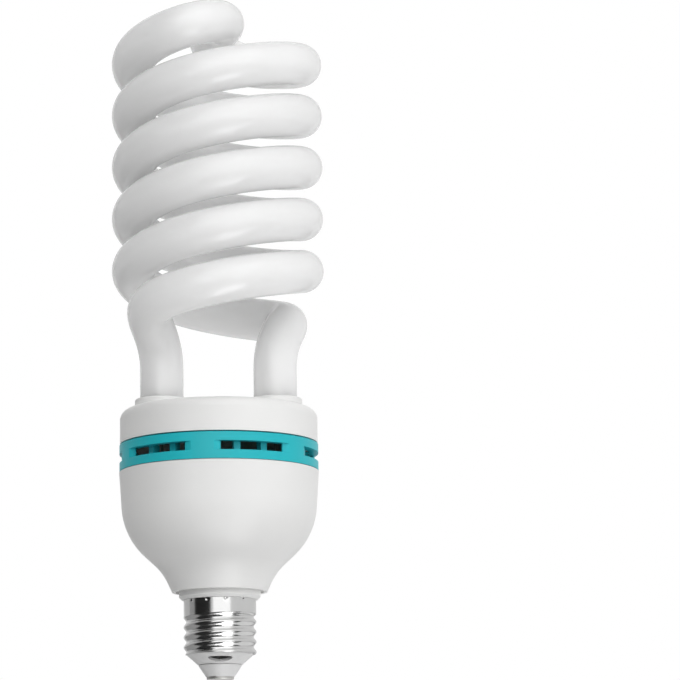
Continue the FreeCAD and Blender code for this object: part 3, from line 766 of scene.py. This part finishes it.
def lying_card(name, azimuths, inner, material):
    """A low card, part of a ring round the bulb, which shows in mirrors only."""
    below = Vector((0, 0, low_card_height))
    rim = [direction(azimuth, 0) * card_distance + below for azimuth in azimuths]
    hub = [direction(azimuth, 0) * inner + below for azimuth in azimuths[::-1]]
    card(name, rim + hub, material, diffuse=False, **unseen)


# %% The cards
# Felt is wool pressed into a sheet, dull at any angle, so a card shows as one even tone.
black_felt = surface(
    "black_felt", "161616", "101010", roughness=0.9, drift_mm=50, grain_mm=3, relief_mm=0.1)
grey_felt = surface(
    "grey_felt", "A6A6A6", "A0A0A0", roughness=0.9, drift_mm=50, grain_mm=3, relief_mm=0.1)
pale_felt = surface(
    "pale_felt", "D6D6D6", "D0D0D0", roughness=0.9, drift_mm=50, grain_mm=3, relief_mm=0.1)
standing_card("dark_panel", (-29, -87), black_felt)
standing_card("grey_panel", (-87, -112), grey_felt, diffuse=False)
standing_card("pale_panel", (-112, -150), pale_felt, diffuse=False)
lying_card("dark_table", (-90, -45, 14), 0.06, black_felt)
lying_card("grey_table", (-150, -120, -90), 0.06, grey_felt)
lying_card("dark_gap_on_the_right", (50, 74), 0.1, black_felt)

# %% [markdown]
# ## The floor
# The floor is white paper, 0.6 m below the bulb and out of the camera's view from the front. Seen
# from above it should be nearly as white as the room, and that can't come from more light,
# because the lamps are set for the bulb. So the paper glows a little, but only for the camera:
# the Light Path node tells a camera's ray from the others. It is white under the bulb and falls
# off to a pale grey farther out, where the lamps don't reach.

# %% White paper
floor_height = -0.6
floor_half = 4.0
white_paper = surface(
    "white_paper_floor", "F2F2F2", "F0F0F0", roughness=0.7, drift_mm=200, grain_mm=2,
    relief_mm=0.05, Emission_Color=linear("8A8A8A"))
paper = white_paper.node_tree
paper_ray = add(paper, "ShaderNodeLightPath")
for node in paper.nodes:
    if node.type == "BSDF_PRINCIPLED":
        paper.links.new(paper_ray.outputs["Is Camera Ray"], node.inputs["Emission Strength"])
card("floor", [(x * floor_half, y * floor_half, floor_height)
               for x, y in ((-1, -1), (1, -1), (1, 1), (-1, 1))], white_paper)

# %% [markdown]
# ## The camera
# The round edges of the housing show how far below the bulb the camera stands, and the two
# strands of the spiral show how far away it is. Both were fitted to the outline: the camera is
# 1.2 m away, 92 mm below the contact, and looks up by ten degrees.

# %% Camera at the photograph's place
picture_width = 680
focal_length_in_pixels = 3333.7
camera_place = (0, -1.2002, -0.0923)
yaw, pitch, roll = math.radians(2.124), math.radians(10.195), math.radians(0.72)

camera_data = bpy.data.cameras.new("camera")
camera_data.sensor_width = 36
camera_data.lens = focal_length_in_pixels / picture_width * camera_data.sensor_width
camera_data.clip_start = 0.05
camera_data.clip_end = 20
camera = bpy.data.objects.new("camera", camera_data)
scene.collection.objects.link(camera)
scene.camera = camera

# %% Turn it to look at the bulb
# Yaw and pitch give the way it looks, and roll turns the picture about that line.
ahead = Vector((math.sin(yaw) * math.cos(pitch), math.cos(yaw) * math.cos(pitch),
                math.sin(pitch)))
level_right = Vector((math.cos(yaw), -math.sin(yaw), 0))
level_up = level_right.cross(ahead)
right = level_right * math.cos(roll) - level_up * math.sin(roll)
up = level_up * math.cos(roll) + level_right * math.sin(roll)
camera.location = camera_place
camera.rotation_mode = "QUATERNION"
camera.rotation_quaternion = Matrix((right, up, -ahead)).transposed().to_quaternion()
print("camera looks along", [round(v, 3) for v in ahead])
